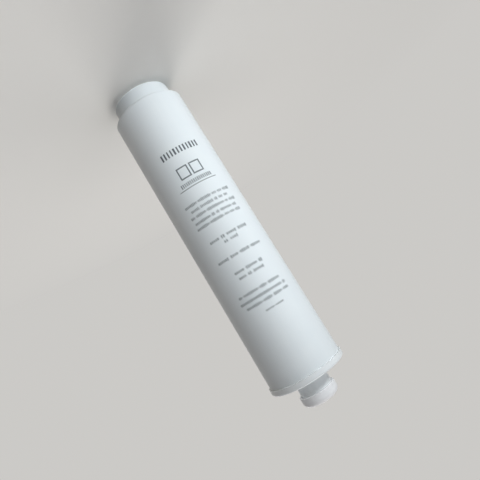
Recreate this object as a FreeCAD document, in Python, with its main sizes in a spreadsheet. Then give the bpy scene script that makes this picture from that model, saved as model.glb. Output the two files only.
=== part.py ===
import FreeCAD, Part
import os

import Sketcher

# An encapsulated reverse osmosis cartridge that stands on its closed end, connector up.
# Feed comes down around the wound element, enters it at the base, and leaves as concentrate
# through the diverter's stem. Permeate leaves through the core tube and the centre nozzle.

# Driving dimensions in millimetres and degrees: name, value, meaning
SIZES = [
    ("boss_height", 15.0, "height of the stepped closed end"),
    ("step_width", 5.8, "shoulder's width beside the stepped end"),
    ("boss_draft", 0.5, "stepped end's radius lost towards the closed face"),
    ("boss_edge_round", 2.5, "round of the closed end's edge"),
    ("boss_root_round", 1.0, "round in the corner under the shoulder"),
    ("shoulder_radius", 31.8, "outer radius of the shell at the shoulder"),
    ("shoulder_edge_round", 1.5, "round of the shoulder's edge"),
    ("body_length", 257.0, "shell from the shoulder to its mouth"),
    ("mouth_radius", 32.6, "outer radius of the shell at its mouth"),
    ("shell_wall", 2.4, "wall of the shell"),
    ("floor_thickness", 3.0, "thickness of the closed end"),
    ("gate_recess_radius", 5.0, "dimple around the moulding gate"),
    ("gate_recess_depth", 0.8, "depth of the gate dimple"),
    ("socket_height", 7.0, "ring on the floor that locates the tube plug"),
    ("socket_wall", 2.4, "wall of that ring"),
    ("rib_count", 6, "ribs that carry and centre the element"),
    ("rib_thickness", 2.0, "thickness of a rib"),
    ("rib_clearance", 0.7, "core tube to the ribs"),
    ("seat_rise", 3.6, "rib seat above the inner shoulder, the feed's way in"),
    ("fin_height", 10.0, "centring fins above the rib seat"),
    ("mouth_bore_extra", 1.0, "straight bore of the mouth below the spigot"),
    ("rim_overhang", 1.1, "how far the rim stands out over the shell's mouth"),
    ("flange_thickness", 5.8, "height of the rim"),
    ("flange_edge_round", 1.8, "round of the rim's outer edge"),
    ("joint_gap", 0.4, "height of the fine groove between shell and rim"),
    ("joint_depth", 0.7, "depth of that groove behind the shell's surface"),
    ("head_wall", 3.0, "thickness of the head's end wall"),
    ("spigot_length", 10.0, "spigot inside the shell's mouth"),
    ("spigot_wall", 2.2, "wall of the spigot"),
    ("weld_clearance", 0.1, "spigot to the shell's wall"),
    ("neck_wall", 3.4, "wall of the connector's neck"),
    ("neck_exposed", 13.2, "neck between the rim and the dust cap"),
    ("neck_root_round", 1.5, "round where the neck meets the rim"),
    ("neck_tip_land", 0.6, "neck's wall between its upper groove and its lead-in"),
    ("neck_tip_chamfer", 1.2, "lead-in at the neck's end"),
    ("seal_section", 1.6, "thickness of the neck's and the tube's rings"),
    ("fine_section", 1.4, "thickness of the rings on stem, nozzle and plug"),
    ("seal_stand", 0.3, "how far a ring stands out of its groove"),
    ("groove_play", 0.3, "groove wider than its ring"),
    ("fit_clearance", 0.05, "sliding fit between pieces"),
    ("lower_seal_inset", 1.35, "dust cap's edge to the middle of the first ring"),
    ("neck_seal_pitch", 2.8, "distance between the neck's rings"),
    ("cap_wall", 1.7, "wall of the dust cap"),
    ("cap_draft", 0.2, "dust cap's radius lost from its edge to its end"),
    ("cap_clearance", 0.1, "dust cap to the rings it slides over"),
    ("cap_end_gap", 0.6, "neck's end to the dust cap's roof"),
    ("cap_roof", 1.9, "roof of the dust cap"),
    ("cap_end_round", 4.5, "round of the dust cap's end"),
    ("cap_inner_round", 2.4, "round inside the dust cap's end"),
    ("cap_lip_round", 0.6, "round of the dust cap's open edge"),
    ("core_radius", 8.5, "outer radius of the core tube"),
    ("core_wall", 2.7, "wall of the core tube"),
    ("core_hole_radius", 1.0, "permeate holes in the core tube"),
    ("core_hole_count", 8, "holes in a row"),
    ("core_hole_inset", 20.0, "roll's ends to the nearest hole"),
    ("tube_end_gap", 0.2, "core tube's end to the roof of its socket"),
    ("tube_seal_inset", 2.4, "core tube's end to the middle of the upper ring"),
    ("tube_seal_pitch", 4.0, "distance between the tube's rings"),
    ("plug_flange", 2.0, "flange of the tube plug"),
    ("plug_length", 10.0, "plug inside the core tube"),
    ("plug_stub_radius", 4.2, "stub of the plug in the floor's socket"),
    ("stub_gap", 1.0, "stub's end to the floor"),
    ("stub_clearance", 0.2, "stub to the socket's wall"),
    ("feed_gap", 3.5, "feed's way between the outer wrap and the narrowest bore"),
    ("head_room", 25.0, "roll's end to the shell's mouth"),
    ("wrap_thickness", 0.7, "outer wrap with its glue"),
    ("tape_thickness", 0.3, "binding tape"),
    ("tape_width", 16.0, "width of the binding tape"),
    ("winding_clearance", 0.05, "between wound layers"),
    ("hub_clearance", 0.1, "end caps' hubs to the core tube"),
    ("hub_wall", 2.4, "wall of the end caps' hubs"),
    ("foot_overhang", 0.4, "foot flange of the base end cap beyond the wrap"),
    ("end_cap_clearance", 0.3, "foot flange to the centring fins"),
    ("end_cap_foot", 2.0, "height of the foot flange"),
    ("base_cap_thickness", 6.0, "height of the base end cap"),
    ("base_ring_width", 2.4, "outer ring of the base end cap"),
    ("base_mid_width", 1.5, "width of the middle ring of the base end cap"),
    ("base_spoke_count", 8, "spokes of the base end cap"),
    ("base_spoke_angle", 10.0, "angle that a base spoke fills"),
    ("plate_thickness", 4.0, "plate of the head end cap"),
    ("plate_recess", 2.5, "gathering space under that plate"),
    ("plate_rim", 1.9, "rim around the gathering space"),
    ("head_spoke_count", 6, "spokes of the head end cap"),
    ("head_spoke_width", 2.0, "thickness of a head spoke"),
    ("head_web_angle", 16.0, "angle between two windows of the plate"),
    ("collar_height", 8.0, "collar that carries the brine seal"),
    ("collar_gap", 2.2, "collar to the skirt that the brine seal meets"),
    ("collar_wall", 3.4, "wall of the collar"),
    ("collar_groove_inset", 2.0, "plate to the seal's groove"),
    ("collar_groove_width", 4.0, "height of the seal's groove"),
    ("collar_groove_depth", 1.6, "depth of the seal's groove"),
    ("lip_thickness", 0.9, "sealing lip and inner leg of the brine seal"),
    ("lip_root", 1.6, "solid back of the brine seal"),
    ("skirt_clearance", 2.9, "feed's way between the spigot and the diverter's skirt"),
    ("skirt_wall", 1.4, "wall of the skirt"),
    ("skirt_gap", 1.0, "head end cap's plate to the skirt's edge"),
    ("dome_thickness", 1.6, "top wall of the diverter's bell"),
    ("dome_drop", 3.0, "slope at the bell's shoulder"),
    ("passage_height", 2.5, "concentrate's way over the tube socket"),
    ("tube_socket_wall", 1.6, "wall and roof of the tube socket"),
    ("tube_socket_gap", 2.5, "head end cap's plate to the tube socket"),
    ("standoff_height", 4.0, "feed space over the bell"),
    ("standoff_count", 4, "ribs across the feed space"),
    ("standoff_thickness", 2.0, "thickness of such a rib"),
    ("neck_feed_gap", 2.2, "feed's way between the neck and the concentrate stem"),
    ("stem_wall", 2.0, "wall of the stem"),
    ("stem_seal_inset", 2.0, "stem's end to the middle of its ring"),
    ("stem_way", 2.0, "concentrate's way between the stem and the nozzle"),
    ("nozzle_bore", 2.4, "inner radius of the permeate nozzle"),
    ("nozzle_wall", 2.0, "wall of the nozzle"),
    ("nozzle_inset", 1.1, "neck's end to the nozzle's end"),
    ("nozzle_seal_inset", 1.6, "nozzle's end to the middle of its ring"),
    ("nozzle_land", 0.65, "nozzle's groove to the stem's end"),
    ("web_count", 4, "webs that hold the nozzle in the stem"),
    ("web_angle", 20.0, "angle that a web fills"),
    ("web_inset", 8.0, "stem's end to the webs"),
]

# Sizes and levels that follow from the driving ones
DERIVED = [
    ("boss_base_radius", "Sizes.shoulder_radius - Sizes.step_width"),
    ("boss_end_radius", "boss_base_radius - Sizes.boss_draft"),
    ("boss_inner_end", "boss_end_radius - Sizes.shell_wall"),
    ("boss_inner_base", "boss_base_radius - Sizes.shell_wall"),
    ("shoulder_inner", "Sizes.shoulder_radius - Sizes.shell_wall"),
    ("mouth_inner", "Sizes.mouth_radius - Sizes.shell_wall"),
    ("ledge_level", "Sizes.boss_height + Sizes.shell_wall"),
    ("seat_level", "ledge_level + Sizes.seat_rise"),
    ("fin_top", "seat_level + Sizes.fin_height"),
    ("mouth_level", "Sizes.boss_height + Sizes.body_length"),
    ("plug_seat", "Sizes.floor_thickness + Sizes.socket_height"),
    ("socket_bore", "Sizes.plug_stub_radius + Sizes.stub_clearance"),
    ("socket_outer", "socket_bore + Sizes.socket_wall"),
    ("rib_root_level", "Sizes.floor_thickness / 2"),
    ("rib_inner", "Sizes.core_radius + Sizes.rib_clearance"),
    ("rib_in_boss", "boss_end_radius - Sizes.shell_wall / 2"),
    ("rib_in_wall", "Sizes.shoulder_radius - Sizes.shell_wall / 2"),
    ("rib_ledge", "Sizes.boss_height + Sizes.shell_wall / 2"),
    ("narrowest_bore", "min(shoulder_inner; mouth_inner)"),
    ("wrap_radius", "narrowest_bore - Sizes.feed_gap"),
    ("roll_radius", "wrap_radius - Sizes.wrap_thickness"),
    ("end_cap_radius", "wrap_radius + Sizes.foot_overhang"),
    ("fin_inner", "end_cap_radius + Sizes.end_cap_clearance"),
    ("flange_radius", "Sizes.mouth_radius + Sizes.rim_overhang"),
    ("flange_base", "mouth_level + Sizes.joint_gap"),
    ("flange_top", "mouth_level + Sizes.flange_thickness"),
    ("joint_radius", "Sizes.mouth_radius - Sizes.joint_depth"),
    ("head_inner_level", "flange_top - Sizes.head_wall"),
    ("spigot_radius", "mouth_inner - Sizes.weld_clearance"),
    ("spigot_inner", "spigot_radius - Sizes.spigot_wall"),
    ("spigot_end", "mouth_level - Sizes.spigot_length"),
    ("mouth_bore_end", "spigot_end - Sizes.mouth_bore_extra"),
    ("nozzle_radius", "Sizes.nozzle_bore + Sizes.nozzle_wall"),
    ("stem_bore", "nozzle_radius + Sizes.stem_way"),
    ("stem_radius", "stem_bore + Sizes.stem_wall"),
    ("neck_bore", "stem_radius + Sizes.neck_feed_gap"),
    ("neck_radius", "neck_bore + Sizes.neck_wall"),
    ("neck_groove_radius", "neck_radius + Sizes.seal_stand - Sizes.seal_section"),
    ("neck_tip_radius", "neck_radius - Sizes.neck_tip_chamfer"),
    ("seal_groove_half", "(Sizes.seal_section + Sizes.groove_play) / 2"),
    ("fine_groove_half", "(Sizes.fine_section + Sizes.groove_play) / 2"),
    ("seal_ring_radius", "Sizes.seal_section / 2"),
    ("fine_ring_radius", "Sizes.fine_section / 2"),
    ("cap_edge", "flange_top + Sizes.neck_exposed"),
    ("lower_neck_seal", "cap_edge + Sizes.lower_seal_inset"),
    ("upper_neck_seal", "lower_neck_seal + Sizes.neck_seal_pitch"),
    ("lower_neck_groove_base", "lower_neck_seal - seal_groove_half"),
    ("lower_neck_groove_top", "lower_neck_seal + seal_groove_half"),
    ("upper_neck_groove_base", "upper_neck_seal - seal_groove_half"),
    ("upper_neck_groove_top", "upper_neck_seal + seal_groove_half"),
    ("neck_tip_level", "upper_neck_groove_top + Sizes.neck_tip_land"),
    ("neck_end", "neck_tip_level + Sizes.neck_tip_chamfer"),
    ("neck_ring_middle", "neck_groove_radius + seal_ring_radius"),
    ("cap_bore", "neck_radius + Sizes.seal_stand + Sizes.cap_clearance"),
    ("cap_radius", "cap_bore + Sizes.cap_wall"),
    ("cap_end_radius", "cap_radius - Sizes.cap_draft"),
    ("cap_roof_level", "neck_end + Sizes.cap_end_gap"),
    ("cap_top", "cap_roof_level + Sizes.cap_roof"),
    ("core_bore", "Sizes.core_radius - Sizes.core_wall"),
    ("tube_base", "plug_seat + Sizes.plug_flange"),
    ("roll_base", "seat_level + Sizes.base_cap_thickness"),
    ("roll_top", "mouth_level - Sizes.head_room"),
    ("plate_top", "roll_top + Sizes.plate_thickness"),
    ("plate_ceiling", "roll_top + Sizes.plate_recess"),
    ("collar_top", "plate_top + Sizes.collar_height"),
    ("dome_top", "head_inner_level - Sizes.standoff_height"),
    ("dome_ceiling", "dome_top - Sizes.dome_thickness"),
    ("dome_edge_top", "dome_top - Sizes.dome_drop"),
    ("dome_edge_ceiling", "dome_ceiling - Sizes.dome_drop"),
    ("tube_socket_top", "dome_ceiling - Sizes.passage_height"),
    ("tube_socket_roof", "tube_socket_top - Sizes.tube_socket_wall"),
    ("tube_socket_edge", "plate_top + Sizes.tube_socket_gap"),
    ("tube_top", "tube_socket_roof - Sizes.tube_end_gap"),
    ("upper_tube_seal", "tube_top - Sizes.tube_seal_inset"),
    ("lower_tube_seal", "upper_tube_seal - Sizes.tube_seal_pitch"),
    ("upper_tube_groove_base", "upper_tube_seal - seal_groove_half"),
    ("upper_tube_groove_top", "upper_tube_seal + seal_groove_half"),
    ("lower_tube_groove_base", "lower_tube_seal - seal_groove_half"),
    ("lower_tube_groove_top", "lower_tube_seal + seal_groove_half"),
    ("tube_groove_radius", "Sizes.core_radius + Sizes.seal_stand - Sizes.seal_section"),
    ("tube_ring_middle", "tube_groove_radius + seal_ring_radius"),
    ("holed_length", "roll_top - roll_base - 2 * Sizes.core_hole_inset"),
    ("core_hole_pitch", "holed_length / (Sizes.core_hole_count - 0.5)"),
    ("first_hole_level", "roll_base + Sizes.core_hole_inset"),
    ("second_hole_level", "first_hole_level + core_hole_pitch / 2"),
    ("hole_row_length", "core_hole_pitch * (Sizes.core_hole_count - 1)"),
    ("plug_radius", "core_bore - Sizes.fit_clearance"),
    ("plug_ring_middle", "plug_radius - fine_ring_radius"),
    ("plug_groove_radius", "plug_radius - Sizes.fine_section"),
    ("plug_end", "tube_base + Sizes.plug_length"),
    ("plug_seal", "tube_base + Sizes.plug_length / 2"),
    ("plug_groove_base", "plug_seal - fine_groove_half"),
    ("plug_groove_top", "plug_seal + fine_groove_half"),
    ("plug_foot", "Sizes.floor_thickness + Sizes.stub_gap"),
    ("roll_bore", "Sizes.core_radius + Sizes.winding_clearance"),
    ("wrap_bore", "roll_radius + Sizes.winding_clearance"),
    ("tape_bore", "wrap_radius + Sizes.winding_clearance"),
    ("tape_radius", "tape_bore + Sizes.tape_thickness"),
    ("base_step", "seat_level + Sizes.end_cap_foot"),
    ("base_tape_top", "base_step + Sizes.tape_width"),
    ("head_tape_base", "plate_top - Sizes.tape_width"),
    ("hub_bore", "Sizes.core_radius + Sizes.hub_clearance"),
    ("hub_radius", "hub_bore + Sizes.hub_wall"),
    ("hub_weld_radius", "hub_radius - Sizes.hub_wall / 2"),
    ("base_window_radius", "wrap_radius - Sizes.base_ring_width"),
    ("base_mid_radius", "(hub_radius + base_window_radius) / 2"),
    ("base_mid_inner", "base_mid_radius - Sizes.base_mid_width / 2"),
    ("base_mid_outer", "base_mid_radius + Sizes.base_mid_width / 2"),
    ("base_window_angle", "360 / Sizes.base_spoke_count - Sizes.base_spoke_angle"),
    ("plate_recess_radius", "wrap_radius - Sizes.plate_rim"),
    ("plate_weld_radius", "wrap_radius - Sizes.plate_rim / 2"),
    ("plate_weld_level", "(plate_ceiling + plate_top) / 2"),
    ("plate_window_radius", "collar_bore - Sizes.winding_clearance"),
    ("plate_window_angle", "360 / Sizes.head_spoke_count - Sizes.head_web_angle"),
    ("skirt_radius", "spigot_inner - Sizes.skirt_clearance"),
    ("skirt_bore", "skirt_radius - Sizes.skirt_wall"),
    ("collar_radius", "skirt_bore - Sizes.collar_gap"),
    ("collar_bore", "collar_radius - Sizes.collar_wall"),
    ("collar_groove_radius", "collar_radius - Sizes.collar_groove_depth"),
    ("collar_groove_base", "plate_top + Sizes.collar_groove_inset"),
    ("collar_groove_top", "collar_groove_base + Sizes.collar_groove_width"),
    ("brine_bore", "collar_groove_radius + Sizes.fit_clearance"),
    ("brine_base", "collar_groove_base + Sizes.fit_clearance"),
    ("brine_top", "collar_groove_top - Sizes.fit_clearance"),
    ("brine_root_level", "brine_top - Sizes.lip_root"),
    ("brine_leg", "brine_bore + Sizes.lip_thickness"),
    ("brine_reach", "skirt_bore - Sizes.fit_clearance"),
    ("brine_tip", "brine_reach - Sizes.lip_thickness"),
    ("brine_back", "(brine_bore + brine_reach) / 2 + Sizes.lip_thickness / 2"),
    ("brine_notch", "brine_back - Sizes.lip_thickness"),
    ("skirt_edge", "plate_top + Sizes.skirt_gap"),
    ("dome_radius", "skirt_radius - Sizes.dome_drop"),
    ("dome_inner_radius", "skirt_bore - Sizes.dome_drop"),
    ("tube_socket_bore", "Sizes.core_radius + Sizes.seal_stand + Sizes.fit_clearance"),
    ("tube_socket_radius", "tube_socket_bore + Sizes.tube_socket_wall"),
    ("passage_reach", "tube_socket_radius + Sizes.tube_socket_wall"),
    ("nozzle_end", "neck_end - Sizes.nozzle_inset"),
    ("nozzle_seal", "nozzle_end - Sizes.nozzle_seal_inset"),
    ("nozzle_groove_base", "nozzle_seal - fine_groove_half"),
    ("nozzle_groove_top", "nozzle_seal + fine_groove_half"),
    ("nozzle_groove_radius", "nozzle_radius + Sizes.seal_stand - Sizes.fine_section"),
    ("nozzle_ring_middle", "nozzle_groove_radius + fine_ring_radius"),
    ("stem_end", "nozzle_groove_base - Sizes.nozzle_land"),
    ("stem_seal", "stem_end - Sizes.stem_seal_inset"),
    ("stem_groove_base", "stem_seal - fine_groove_half"),
    ("stem_groove_top", "stem_seal + fine_groove_half"),
    ("stem_groove_radius", "stem_radius + Sizes.seal_stand - Sizes.fine_section"),
    ("stem_ring_middle", "stem_groove_radius + fine_ring_radius"),
    ("web_end", "stem_end - Sizes.web_inset"),
    ("web_gap_angle", "360 / Sizes.web_count - Sizes.web_angle"),
    ("standoff_root", "dome_top - Sizes.dome_thickness / 2"),
    ("standoff_inner", "stem_radius - Sizes.stem_wall / 2"),
    ("stem_weld_level", "(stem_end + web_end) / 2"),
]

doc = FreeCAD.newDocument("cartridge")


def add_sheet(name, rows):
    """A sheet with a name, a value or formula, and a note on each row."""
    sheet = doc.addObject("Spreadsheet::Sheet", name)
    for number, (alias, content, note) in enumerate(rows, 1):
        sheet.set(f"A{number}", alias)
        sheet.setAlias(f"B{number}", alias)
        sheet.set(f"C{number}", note)
    for number, (alias, content, note) in enumerate(rows, 1):
        sheet.set(f"B{number}", str(content))
    return sheet


sizes = add_sheet("Sizes", SIZES)
derived = add_sheet("Derived", [(alias, "=" + formula, "") for alias, formula in DERIVED])
doc.recompute()
DRIVING = {alias for alias, value, note in SIZES}


def cell(alias):
    """The reference to a named cell, as expressions write it."""
    return f"Sizes.{alias}" if alias in DRIVING else f"Derived.{alias}"


def value(alias):
    """The number that a named cell holds."""
    return float((sizes if alias in DRIVING else derived).get(alias))


def new_body(label):
    body = doc.addObject("PartDesign::Body", label)
    body.Label = label
    return body


def origin_feature(body, role):
    return next(part for part in body.Origin.OriginFeatures if part.Role == role)


def add_sketch(body, name, plane):
    """A sketch on one of the body's own upright planes: across is a radius, up is a level."""
    sketch = body.newObject("Sketcher::SketchObject", name)
    sketch.AttachmentSupport = [(origin_feature(body, plane), "")]
    sketch.MapMode = "FlatFace"
    return sketch


def add_outline(sketch, corners):
    """A closed outline of straight edges. A corner is (radius, level); None is the axis or z = 0."""
    places = []
    for radius, level in corners:
        across = value(radius) if radius else 0.0
        up = value(level) if level else 0.0
        places.append(FreeCAD.Vector(across, up, 0))
    first = sketch.GeometryCount
    count = len(places)
    for number in range(count):
        line = Part.LineSegment(places[number], places[(number + 1) % count])
        sketch.addGeometry(line, False)
    for number in range(count):
        following = first + (number + 1) % count
        sketch.addConstraint(Sketcher.Constraint("Coincident", first + number, 2, following, 1))
    for number, (radius, level) in enumerate(corners):
        bind_point(sketch, first + number, 1, radius, level)


def bind_point(sketch, line, end, radius, level):
    """Ties one point of a sketch to its named radius and level."""
    for kind, alias, axis in (("DistanceX", radius, -2), ("DistanceY", level, -1)):
        if alias is None:
            sketch.addConstraint(Sketcher.Constraint("PointOnObject", line, end, axis))
            continue
        number = sketch.addConstraint(Sketcher.Constraint(kind, -1, 1, line, end, value(alias)))
        name = f"{kind}_{line}"
        sketch.renameConstraint(number, name)
        sketch.setExpression(f"Constraints.{name}", cell(alias))


def box_outline(inner, outer, base, top):
    return [(inner, base), (outer, base), (outer, top), (inner, top)]


def turn(body, name, *outlines):
    """Turns closed outlines a full circle about the upright axis."""
    sketch = add_sketch(body, name + "_profile", "XZ_Plane")
    for corners in outlines:
        add_outline(sketch, corners)
    feature = body.newObject("PartDesign::Revolution", name)
    feature.Profile = sketch
    feature.ReferenceAxis = (sketch, ["V_Axis"])
    feature.Angle = 360
    doc.recompute()
    return feature


def turned_body(label, *outlines):
    body = new_body(label)
    turn(body, label + "_turned", *outlines)
    return body


def finish(feature):
    """Makes a feature the body's result."""
    body = feature.getParentGeoFeatureGroup()
    body.Tip = feature
    doc.recompute()
    return feature


def around(body, feature, count):
    """Repeats a feature evenly about the upright axis."""
    pattern = body.newObject("PartDesign::PolarPattern", feature.Name + "_around")
    pattern.Originals = [feature]
    pattern.Axis = (origin_feature(body, "Z_Axis"), [""])
    pattern.Angle = 360
    pattern.setExpression("Occurrences", cell(count))
    return finish(pattern)


def sector_cut(body, name, angle, *outlines):
    """Cuts outlines away through a sector about the upright axis, centred on the sketch."""
    before = body.Shape.Volume
    sketch = add_sketch(body, name + "_profile", "XZ_Plane")
    for corners in outlines:
        add_outline(sketch, corners)
    groove = body.newObject("PartDesign::Groove", name)
    groove.Profile = sketch
    groove.ReferenceAxis = (sketch, ["V_Axis"])
    groove.Midplane = True
    if angle is None:
        groove.Angle = 360
    else:
        groove.setExpression("Angle", cell(angle))
    finish(groove)
    if body.Shape.Volume > before - 1:
        raise RuntimeError(name + " cuts nothing")
    return groove


def rib(body, name, thickness, corners, plane="XZ_Plane"):
    """A flat rib on an upright plane, half of its thickness to each side."""
    sketch = add_sketch(body, name + "_profile", plane)
    add_outline(sketch, corners)
    pad = body.newObject("PartDesign::Pad", name)
    pad.Profile = sketch
    pad.SideType = "Symmetric"
    pad.setExpression("Length", cell(thickness))
    return finish(pad)


def cross_holes(body, name, plane, level, radius, length, count):
    """A row of holes drilled straight through the body, spaced along the upright axis."""
    before = body.Shape.Volume
    sketch = add_sketch(body, name + "_profile", plane)
    centre = FreeCAD.Vector(0, value(level), 0)
    sketch.addGeometry(Part.Circle(centre, FreeCAD.Vector(0, 0, 1), value(radius)), False)
    bind_point(sketch, 0, 3, None, level)
    number = sketch.addConstraint(Sketcher.Constraint("Radius", 0, value(radius)))
    sketch.renameConstraint(number, "hole_radius")
    sketch.setExpression("Constraints.hole_radius", cell(radius))
    pocket = body.newObject("PartDesign::Pocket", name)
    pocket.Profile = sketch
    pocket.Type = "ThroughAll"
    pocket.SideType = "Symmetric"
    finish(pocket)
    row = body.newObject("PartDesign::LinearPattern", name + "_row")
    row.Originals = [pocket]
    row.Direction = (origin_feature(body, "Z_Axis"), [""])
    row.setExpression("Length", cell(length))
    row.setExpression("Occurrences", cell(count))
    finish(row)
    if body.Shape.Volume > before - 1:
        raise RuntimeError(name + " cuts nothing")


def ring_edges(shape, radius, level):
    """Names of the circular edges of one radius at one level."""
    names = []
    for number, edge in enumerate(shape.Edges, 1):
        if not isinstance(edge.Curve, Part.Circle):
            continue
        same_radius = abs(edge.Curve.Radius - radius) < 0.001
        if same_radius and abs(edge.Curve.Center.z - level) < 0.001:
            names.append(f"Edge{number}")
    return names


def round_ring(body, name, size, radius, level=None):
    """Rounds the circular edge at a named radius and level."""
    base = body.Tip
    edges = ring_edges(base.Shape, value(radius), value(level) if level else 0.0)
    if not edges:
        raise RuntimeError("no edge for " + name)
    fillet = body.newObject("PartDesign::Fillet", name)
    fillet.Base = (base, edges)
    fillet.setExpression("Radius", cell(size))
    return finish(fillet)


def o_ring(label, middle, thickness, level):
    """A round ring lying level, at its own place on the axis."""
    ring = doc.addObject("Part::Torus", label)
    ring.Label = label
    ring.setExpression("Radius1", cell(middle))
    ring.setExpression("Radius2", cell(thickness))
    ring.setExpression("Placement.Base.z", cell(level))
    return ring


def ring_groove(outer, inner, base, top):
    """Corners of a groove in an outline that runs upward."""
    return [(outer, base), (inner, base), (inner, top), (outer, top)]


def make_shell():
    """Closed, stepped tube in one moulding, with inner ribs that seat and centre the element."""
    body = turned_body("shell", [
        ("gate_recess_radius", None),
        ("boss_end_radius", None),
        ("boss_base_radius", "boss_height"),
        ("shoulder_radius", "boss_height"),
        ("mouth_radius", "mouth_level"),
        ("mouth_inner", "mouth_level"),
        ("mouth_inner", "mouth_bore_end"),
        ("shoulder_inner", "ledge_level"),
        ("boss_inner_base", "ledge_level"),
        ("boss_inner_end", "floor_thickness"),
        ("socket_outer", "floor_thickness"),
        ("socket_outer", "plug_seat"),
        ("socket_bore", "plug_seat"),
        ("socket_bore", "floor_thickness"),
        (None, "floor_thickness"),
        (None, "gate_recess_depth"),
        ("gate_recess_radius", "gate_recess_depth"),
    ])
    round_ring(body, "closed_end_round", "boss_edge_round", "boss_end_radius")
    round_ring(body, "step_root_round", "boss_root_round", "boss_base_radius", "boss_height")
    round_ring(body, "shoulder_round", "shoulder_edge_round", "shoulder_radius", "boss_height")
    seat_rib = rib(body, "seat_rib", "rib_thickness", [
        ("rib_inner", "rib_root_level"),
        ("rib_in_boss", "rib_root_level"),
        ("rib_in_boss", "rib_ledge"),
        ("rib_in_wall", "rib_ledge"),
        ("rib_in_wall", "fin_top"),
        ("fin_inner", "fin_top"),
        ("fin_inner", "seat_level"),
        ("rib_inner", "seat_level"),
    ])
    around(body, seat_rib, "rib_count")
    return body


def make_head_cap():
    """Rim, spigot and neck in one moulding."""
    body = turned_body("head_cap", [
        ("spigot_inner", "spigot_end"),
        ("spigot_radius", "spigot_end"),
        ("spigot_radius", "mouth_level"),
        ("joint_radius", "mouth_level"),
        ("joint_radius", "flange_base"),
        ("flange_radius", "flange_base"),
        ("flange_radius", "flange_top"),
        ("neck_radius", "flange_top"),
        *ring_groove("neck_radius", "neck_groove_radius",
                     "lower_neck_groove_base", "lower_neck_groove_top"),
        *ring_groove("neck_radius", "neck_groove_radius",
                     "upper_neck_groove_base", "upper_neck_groove_top"),
        ("neck_radius", "neck_tip_level"),
        ("neck_tip_radius", "neck_end"),
        ("neck_bore", "neck_end"),
        ("neck_bore", "head_inner_level"),
        ("spigot_inner", "head_inner_level"),
    ])
    round_ring(body, "rim_round", "flange_edge_round", "flange_radius", "flange_top")
    round_ring(body, "neck_root", "neck_root_round", "neck_radius", "flange_top")
    return body


def make_dust_cap():
    """Round-ended cap over the neck and its rings."""
    body = turned_body("dust_cap", [
        ("cap_bore", "cap_edge"),
        ("cap_radius", "cap_edge"),
        ("cap_end_radius", "cap_top"),
        (None, "cap_top"),
        (None, "cap_roof_level"),
        ("cap_bore", "cap_roof_level"),
    ])
    round_ring(body, "cap_end", "cap_end_round", "cap_end_radius", "cap_top")
    round_ring(body, "cap_corner", "cap_inner_round", "cap_bore", "cap_roof_level")
    round_ring(body, "cap_lip", "cap_lip_round", "cap_radius", "cap_edge")
    return body


def make_flow_diverter():
    """Bell, stem and nozzle in one moulding: three ways, one inside the other."""
    body = turned_body("flow_diverter", [
        ("skirt_radius", "skirt_edge"),
        ("skirt_radius", "dome_edge_top"),
        ("dome_radius", "dome_top"),
        ("stem_radius", "dome_top"),
        *ring_groove("stem_radius", "stem_groove_radius", "stem_groove_base", "stem_groove_top"),
        ("stem_radius", "stem_end"),
        ("nozzle_radius", "stem_end"),
        *ring_groove("nozzle_radius", "nozzle_groove_radius",
                     "nozzle_groove_base", "nozzle_groove_top"),
        ("nozzle_radius", "nozzle_end"),
        ("nozzle_bore", "nozzle_end"),
        ("nozzle_bore", "tube_socket_roof"),
        ("tube_socket_bore", "tube_socket_roof"),
        ("tube_socket_bore", "tube_socket_edge"),
        ("tube_socket_radius", "tube_socket_edge"),
        ("tube_socket_radius", "dome_ceiling"),
        ("dome_inner_radius", "dome_ceiling"),
        ("skirt_bore", "dome_edge_ceiling"),
        ("skirt_bore", "skirt_edge"),
    ])
    sector_cut(body, "stem_mouth", None,
               box_outline("nozzle_radius", "stem_bore", "web_end", "stem_end"))
    passage = sector_cut(body, "concentrate_way", "web_gap_angle", [
        ("nozzle_radius", "tube_socket_top"),
        ("passage_reach", "tube_socket_top"),
        ("passage_reach", "dome_ceiling"),
        ("stem_bore", "dome_ceiling"),
        ("stem_bore", "stem_weld_level"),
        ("nozzle_radius", "stem_weld_level"),
    ])
    around(body, passage, "web_count")
    standoff = rib(body, "standoff", "standoff_thickness",
                   box_outline("standoff_inner", "dome_radius", "standoff_root", "head_inner_level"))
    around(body, standoff, "standoff_count")
    return body


def make_core_tube():
    """Tube that the membrane is wound on, with permeate holes and two ring grooves."""
    body = turned_body("core_tube", [
        ("core_bore", "tube_base"),
        ("core_radius", "tube_base"),
        *ring_groove("core_radius", "tube_groove_radius",
                     "lower_tube_groove_base", "lower_tube_groove_top"),
        *ring_groove("core_radius", "tube_groove_radius",
                     "upper_tube_groove_base", "upper_tube_groove_top"),
        ("core_radius", "tube_top"),
        ("core_bore", "tube_top"),
    ])
    cross_holes(body, "front_holes", "XZ_Plane", "first_hole_level", "core_hole_radius",
                "hole_row_length", "core_hole_count")
    cross_holes(body, "side_holes", "YZ_Plane", "second_hole_level", "core_hole_radius",
                "hole_row_length", "core_hole_count")
    return body


def make_tube_plug():
    """Plug in the tube's base end, located by its stub in the shell's floor."""
    return turned_body("tube_plug", [
        (None, "plug_foot"),
        ("plug_stub_radius", "plug_foot"),
        ("plug_stub_radius", "plug_seat"),
        ("core_radius", "plug_seat"),
        ("core_radius", "tube_base"),
        ("plug_radius", "tube_base"),
        *ring_groove("plug_radius", "plug_groove_radius", "plug_groove_base", "plug_groove_top"),
        ("plug_radius", "plug_end"),
        (None, "plug_end"),
    ])


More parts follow.
